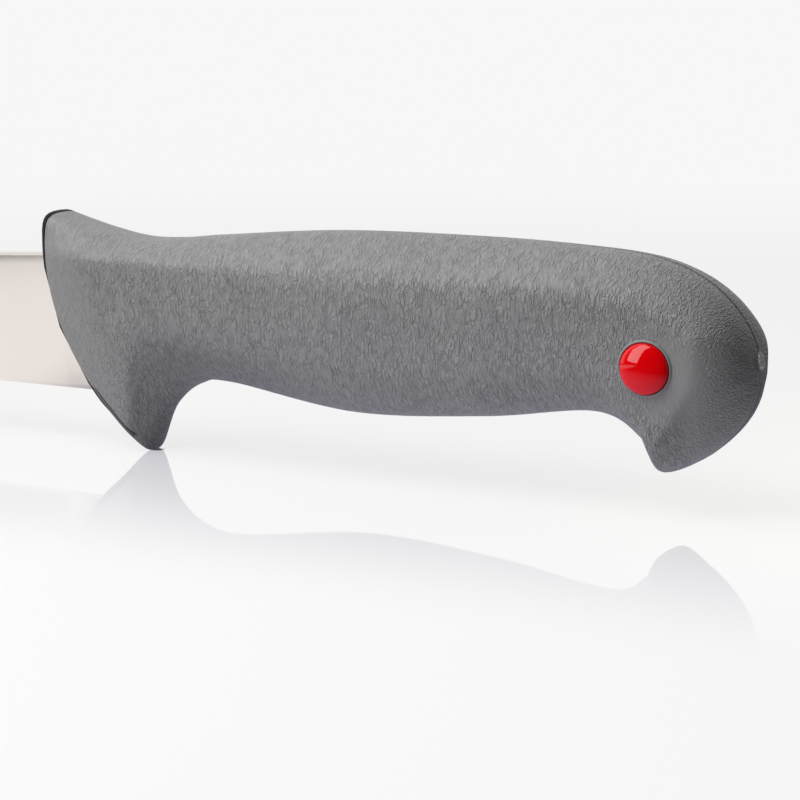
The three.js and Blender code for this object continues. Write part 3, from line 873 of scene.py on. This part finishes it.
def blade_ring(x, edge, half):
    """Section of the blade: flat spine with broken edges, ground sides, bevel and edge."""
    bend = max(0, (-x / BLADE_LENGTH - BELLY_START) / (1 - BELLY_START))
    spine = -POINT_DROP * bend ** 2
    height = spine - edge
    bevel = min(BEVEL_HEIGHT, height * BEVEL_SHARE)
    grind = (SPINE_RADIUS - BEVEL_HALF) / (BLADE_HEIGHT - BEVEL_HEIGHT - SPINE_RADIUS)
    radius = min(SPINE_RADIUS, (half + (height - bevel) * grind) / (1 + grind))
    crown = SPINE_CROWN - SPINE_EASE
    top = 1 - (SPINE_CROWN - 1) * grind - crown * (CROWN_SLOPE - grind) / 2
    near = [(0, spine), (radius * (SPINE_EASE - 1), spine)]
    for t in np.linspace(0, 1, CROWN_ROWS):
        width = top + crown * (CROWN_SLOPE * t - (CROWN_SLOPE + grind) * t ** 2 / 2)
        near.append((-radius * width, spine - radius * (SPINE_EASE + crown * t)))
    near.append((-half, edge + bevel))
    ring = [*near, (0, edge), *[(-y, z) for y, z in near[:0:-1]]]
    return [(FRONT + x, y, SPINE + z) for y, z in ring]


def blade_mesh():
    rings = np.array([blade_ring(*row) for row in blade_outline()])
    rows, columns = rings.shape[:2]
    point = (FRONT - BLADE_LENGTH, 0, SPINE - POINT_DROP)
    faces = [face[::-1] for face in ring_faces(rows, columns)]
    faces.append(tuple(range(columns)))
    faces += [face[::-1] for face in cap_faces((rows - 1) * columns, columns, rows * columns)]
    mesh = bpy.data.meshes.new("blade_fine")
    mesh.from_pydata(np.concatenate([rings.reshape(-1, 3), [point]]).tolist(), [], faces)
    return face_outwards(mesh)


def arc(x, z, radius, angles):
    """Points of an arc about (x, z)."""
    return [(x + radius * math.cos(a), z + radius * math.sin(a)) for a in angles]


def tang_object():
    """Flat tang with its two holes, as a filled outline given its thickness."""
    curve = bpy.data.curves.new("tang", "CURVE")
    curve.dimensions = "2D"
    curve.fill_mode = "BOTH"
    curve.extrude = TANG_THICKNESS / 2
    end = PIN_X - FRONT - TANG_CLEAR
    middle = (TANG_TOP + TANG_BOTTOM) / 2
    half_turn = np.linspace(-math.pi / 2, math.pi / 2, TIP_POINTS)
    turn = np.arange(HOLE_POINTS) * math.tau / HOLE_POINTS
    loops = [[(HEEL_DEPTH / 2, TANG_TOP), (HEEL_DEPTH / 2, TANG_BOTTOM),
              *arc(end - TANG_TIP, middle, TANG_TIP, half_turn)]]
    loops += [arc(end * share, middle, TANG_HOLE, turn) for share in TANG_HOLES]
    for loop in loops:
        spline = curve.splines.new("POLY")
        spline.points.add(len(loop) - 1)
        for point, (x, z) in zip(spline.points, loop):
            point.co = (x, z, 0, 1)
        spline.use_cyclic_u = True
    flat = new_object("tang_outline", curve)
    mesh = plain_mesh(flat)
    mesh.transform(Matrix.Translation((FRONT, 0, SPINE)) @ Matrix.Rotation(math.pi / 2, 4, "X"))
    bpy.data.objects.remove(flat)
    return new_object("tang", face_outwards(mesh, WELD))


def blade(material):
    """Blade and tang in one."""
    steel = new_object("steel_blade", blade_mesh(), material)
    combine(steel, tang_object(), "UNION")
    return smooth(steel, angle=25)


# Materials

def new_material(name):
    """A plain material: gives the place on its object as a wire, its shader and itself."""
    material = bpy.data.materials.new(name)
    material.use_nodes = True
    tree = material.node_tree
    place = Wire(tree).node("ShaderNodeTexCoord", None, None, 3)
    return place, tree.nodes["Principled BSDF"], material


def feed(node, **values):
    """Plugs values or wires into a node's sockets, by name."""
    for name, value in values.items():
        plug(node.inputs[name.replace("_", " ")], value)


def foot_rim(place):
    """Wires that are 1 in the dark line of painted shade at the guard foot, and on the core's black
    rim before it.
    """
    start, end = FOOT_LINE
    length = (end - start).length
    along = (end - start).normalized()
    outward = Vector((along.z, 0, -along.x))
    from_start = place.away_from(start)
    distance = from_start.dot(outward)
    run = from_start.dot(along)
    within = run.step(-FOOT_FADE[0], 0) * run.step(length + FOOT_FADE[1], length)
    line = abs(distance).step(FOOT_GROOVE, FOOT_GROOVE * FOOT_SOLID) * within
    return line, distance.step(0, FOOT_GROOVE) * within


def grip_finish():
    """Grey soft plastic with leather grain; painted shade darkens the creases and the mould seam's
    groove, a painted shadow line runs in the gap at the guard foot beside the core's black rim, and
    the gate scar is pale with painted highlight.
    """
    place, shader, material = new_material("grip_soft")
    grain, pebbled, seam, scar = (
        place.node("ShaderNodeAttribute", {"attribute_name": name}, None, 2)
        for name in ("grain", "pebbles", "seam", "scar")
    )
    wrinkles = grain_cells(place, WRINKLE_SIZE, WRINKLE_BORDER)
    pebbles = grain_cells(place, PEBBLE_SIZE, PEBBLE_BORDER)
    ends = grain_cells(place, END_SIZE, END_BORDER)
    deep = place.stretched(DEEP_SCALE).noise(1, 0.5).step(*DEEP_EDGE)
    pores = place.stretched(PORE_SCALE).noise(1, 0.5) - 0.5
    mottle = place.stretched(MOTTLE_SCALE).noise(3, 0.55)
    torn = place.stretched(TORN_SCALE).noise(2, 0.6).step(*TORN_EDGE)

    sides = wrinkles * deep.at_least(WRINKLE_LEAST) + pebbles * PEBBLE_SHARE - SIDE_LEVEL
    butt = ends * END_SHARE - END_LEVEL
    height = (sides * (1 - pebbled) + butt * pebbled) * grain + pores * PORE_SHARE

    base = mottle.step(*MOTTLE_EDGE).blend(*GRIP_GREYS)
    # painted shade: the creases of the grain are darkened in colour, on the sides and on the butt
    side_creases = (1 - wrinkles) * deep.at_least(CREASE_LEAST) * (1 - pebbled)
    creases = side_creases + (1 - ends) * END_CREASES * pebbled
    shaded = (creases * grain * CREASE_STRENGTH).blend(base, CREASE_SHADE_GREY)
    # painted shade in the groove of the mould seam
    seamed = (seam * SEAM_STRENGTH).blend(shaded, SHADE_AND_RIM_BLACK)
    # painted shade: a dark line in the gap between the core's rim and the skin at the guard foot,
    # and the rim's own black beyond it
    line, rim = foot_rim(place)
    painted = line * FOOT_STRENGTH + (1 - line) * rim * FOOT_RIM_STRENGTH
    rimmed = painted.blend(seamed, SHADE_AND_RIM_BLACK)
    # gate scar: its own pale colour, raised further as a painted highlight
    paled = (scar * torn.at_least(SCAR_LEAST)).blend(rimmed, SCAR_PALE_AND_HIGHLIGHT)
    feed(shader, Base_Color=paled, Roughness=GRIP_ROUGHNESS - height * GRIP_POLISH, IOR=GRIP_IOR,
         Normal=height.bump(GRAIN_RELIEF))
    return material


def core_finish():
    """Black hard plastic, half matt, with faint flow marks."""
    place, shader, material = new_material("core_plastic")
    flow = place.stretched(CORE_FLOW).noise(3, 0.6)
    fine = place.stretched(CORE_FINE).noise(1, 0.5)
    feed(shader, Base_Color=flow.blend(*CORE_BLACKS), Roughness=0.5 + flow * 0.2, IOR=CORE_IOR,
         Normal=fine.bump(CORE_RELIEF, 0.4))
    return material


def blade_finish():
    """Pale satin steel with fine grinding lines across the blade."""
    place, shader, material = new_material("blade_steel")
    lines = place.stretched(STEEL_LINES).noise(2, 0.6)
    clouds = place.stretched(STEEL_CLOUDS).noise(2, 0.5)
    feed(shader, Base_Color=clouds.blend(*STEEL_TONES), Metallic=1.0,
         Roughness=0.17 + lines * 0.08 + clouds * 0.04,
         Normal=lines.bump(STEEL_RELIEF, 0.5))
    return material


def pin_finish():
    """Red glossy plastic, with faint handling marks in its gloss."""
    place, shader, material = new_material("pin_red")
    marks = place.stretched(PIN_MARKS).noise(3, 0.6)
    depth = place.stretched(PIN_DEPTHS).noise(2, 0.5)
    feed(shader, Base_Color=depth.blend(*PIN_REDS), IOR=PIN_IOR,
         Roughness=0.045 + marks.step(0.5, 0.8) * 0.03,
         Normal=marks.bump(PIN_RELIEF, 0.3))
    return material


# Stage

def level_axes():
    """Axes of the level table in the knife's frame, as columns."""
    return Matrix.Rotation(KNIFE_LEAN, 3, "Y")


def bearing(azimuth, elevation):
    """Direction from the knife's near side, turned to the right and raised by angles."""
    return Vector((math.sin(azimuth) * math.cos(elevation),
                   -math.cos(azimuth) * math.cos(elevation), math.sin(elevation)))


def add_camera():
    """Camera at the photograph's view."""
    level = level_axes()
    back = level @ bearing(VIEW_AZIMUTH, VIEW_ELEVATION)
    right = level @ Vector((math.cos(VIEW_AZIMUTH), math.sin(VIEW_AZIMUTH), 0))
    up = back.cross(right)
    camera = bpy.data.cameras.new("photo_view")
    camera.sensor_width = SENSOR
    camera.lens = LENS
    camera.clip_start = NEAR_CLIP
    obj = new_object("photo_view", camera)
    turn = Matrix((right, up, back)).transposed().to_4x4()
    obj.matrix_world = Matrix.Translation(VIEW_CENTRE + back * VIEW_DISTANCE) @ turn
    bpy.context.scene.camera = obj


def softbox(name, place, target, size, power, roll=0, colour=(1, 1, 1)):
    """Rectangular softbox that faces a point, turned about that line. Gives its object."""
    light = bpy.data.lights.new(name, "AREA")
    light.shape = "RECTANGLE"
    light.size, light.size_y = size
    light.energy = power
    light.color = colour
    obj = new_object(name, light)
    facing = (target - place).to_track_quat("-Z", "Y").to_matrix().to_4x4()
    obj.matrix_world = Matrix.Translation(place) @ facing @ Matrix.Rotation(roll, 4, "Z")
    return obj


def add_lights():
    """Tall softbox at the left in front, and a broad soft light above that nothing mirrors."""
    pin = Vector((PIN_X, -PIN_TOP, PIN_Z))
    place = pin + bearing(SOFTBOX_AZIMUTH, SOFTBOX_ELEVATION) * SOFTBOX_DISTANCE
    softbox("left_softbox", place, pin, SOFTBOX_SIZE, SOFTBOX_POWER, SOFTBOX_ROLL)
    above = softbox("top_light", TOP_PLACE, TOP_TARGET, TOP_SIZE, TOP_POWER, colour=TOP_COLOUR)
    above.visible_glossy = False


def ray_kinds(start):
    """Wires that are 1 for each kind of ray, by the names on the Light Path node."""
    path = start.node("ShaderNodeLightPath")
    return {socket.name: Wire(start.tree, socket) for socket in path.socket.node.outputs}


def add_world():
    """Pale backdrop for the camera; a back wall and a left roof for reflections; dim light."""
    world = bpy.data.worlds.new("studio")
    world.use_nodes = True
    bpy.context.scene.world = world
    tree = world.node_tree
    start = Wire(tree)
    rays = ray_kinds(start)
    direction = start.node("ShaderNodeTexCoord", None, None, 0)
    across, behind = direction.part(0), direction.part(1)
    glossy = rays["Is Glossy Ray"]
    seen = rays["Is Camera Ray"].larger(rays["Is Transmission Ray"])
    back_wall = behind.step(*WALL_RISE) * (WALL_SHINE - across.step(*WALL_FALL) * WALL_LOSS)
    left_roof = across.step(*ROOF_SIDE) * behind.step(*ROOF_FRONT) * ROOF_SHINE
    shiny = glossy * (DIMMEST + back_wall.larger(left_roof))
    ambient = (1 - glossy) * (DIMMEST + across.step(*AMBIENT_SIDE) * AMBIENT_LEFT)
    strength = seen * BACKDROP + (1 - seen) * (shiny + ambient)
    feed(tree.nodes["Background"], Color=(1, 1, 1, 1), Strength=strength)


def floor_finish():
    """White light table that mirrors what stands on it and ends softly in the backdrop. The camera,
    reflections and diffuse light each see a glow of their own."""
    place, _, material = new_material("table_white")
    rays = ray_kinds(place)
    camera, glossy = rays["Is Camera Ray"], rays["Is Glossy Ray"]
    touch = place.away_from((GUARD_TIP_X, 0, 0))
    away = touch.length()
    below = place.away_from(GRIP_MIDDLE).length()
    near = place.part(1).step(-MIRROR_START, 0)

    bounced = (below.step(*BOUNCE_EDGE) * away.step(*BOUNCE_GAP)).blend(BOUNCE_DARK, BOUNCE_LIGHT)
    sheen = below.step(*SHEEN_EDGE).blend(SHEEN_LIGHT, SHEEN_DARK)
    before_blade = place.away_from(SPOT_CENTRE).stretched(SPOT_STRETCH).length()
    mirrored = before_blade.step(*SPOT_EDGE).blend(sheen, SPOT_LIGHT)
    plain = near.blend(TABLE_FRONT, TABLE_BACK)
    # painted light lifting the knife's shadow on the table at the right
    plain = (place.part(0).step(*RIGHT_EDGE) * near).blend(plain, TABLE_RIGHT_PAINTED_LIGHT)
    # painted contact shadow round the place where the guard tip touches the table
    long, wide = CONTACT_SIZE
    contact_shadow = touch.stretched((1 / long, 1 / wide, 1 / long)).length().step(*CONTACT_EDGE)
    plain = contact_shadow.blend(plain, CONTACT_SHADOW)
    glow = camera.blend(glossy.blend(bounced, mirrored), plain)

    shine = place.node("ShaderNodeEmission", None, {"Color": glow, "Strength": 1.0})
    lamplit = glossy.blend(LAMPLIT, (0, 0, 0, 1))
    matt = place.node("ShaderNodeBsdfDiffuse", None, {"Color": lamplit})
    lit = place.node("ShaderNodeAddShader", None, {0: shine, 1: matt})
    polish = {"Color": MIRROR_COLOUR, "Roughness": MIRROR_ROUGHNESS}
    gloss = place.node("ShaderNodeBsdfGlossy", None, polish)
    share = near * camera * MIRROR_SHARE
    table = place.node("ShaderNodeMixShader", None, {0: share, 1: lit, 2: gloss})
    clear = place.node("ShaderNodeBsdfTransparent")
    fade = away.step(*TABLE_FADE)
    whole = place.node("ShaderNodeMixShader", None, {0: fade, 1: table, 2: clear})
    feed(material.node_tree.nodes["Material Output"], Surface=whole)
    return material


def add_floor():
    """Table under the guard tip, level in the photograph and so leaning in the knife's frame."""
    x = level_axes() @ Vector((TABLE_REACH, 0, 0))
    y = Vector((0, TABLE_REACH, 0))
    touch = Vector((GUARD_TIP_X, 0, 0))
    corners = [touch + x * i + y * j for i, j in ((-1, -1), (1, -1), (1, 1), (-1, 1))]
    mesh = bpy.data.meshes.new("table")
    mesh.from_pydata([tuple(corner) for corner in corners], [], [(0, 1, 2, 3)])
    new_object("table", mesh, floor_finish())


def dress():
    """Makes the pieces and sets them on their bodies."""
    soft = grip_finish()
    skin = grip_skin(soft)
    lips = [smooth(new_object(name, lip_mesh(skin, side), soft), angle=60)
            for name, side in (("near_recess_lip", -1), ("far_recess_lip", 1))]
    for piece in (skin, *lips):
        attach(piece, "knife")
        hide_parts("grip_skin")

    steel = blade(blade_finish())
    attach(steel, "knife")
    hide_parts("blade")

    red = pin_finish()
    for name, side, node, body in (("pin_socket_half", -1, "pin_socket", "near_pin_half"),
                                   ("pin_stud_half", 1, "pin_stud", "far_pin_half")):
        half = pin_half(name, side, red)
        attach(half, body)
        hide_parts(node)

    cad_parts["handle_core"].material_slots[0].material = core_finish()


bpy.context.scene.view_settings.view_transform = "Standard"
dress()
add_camera()
add_lights()
add_world()
add_floor()
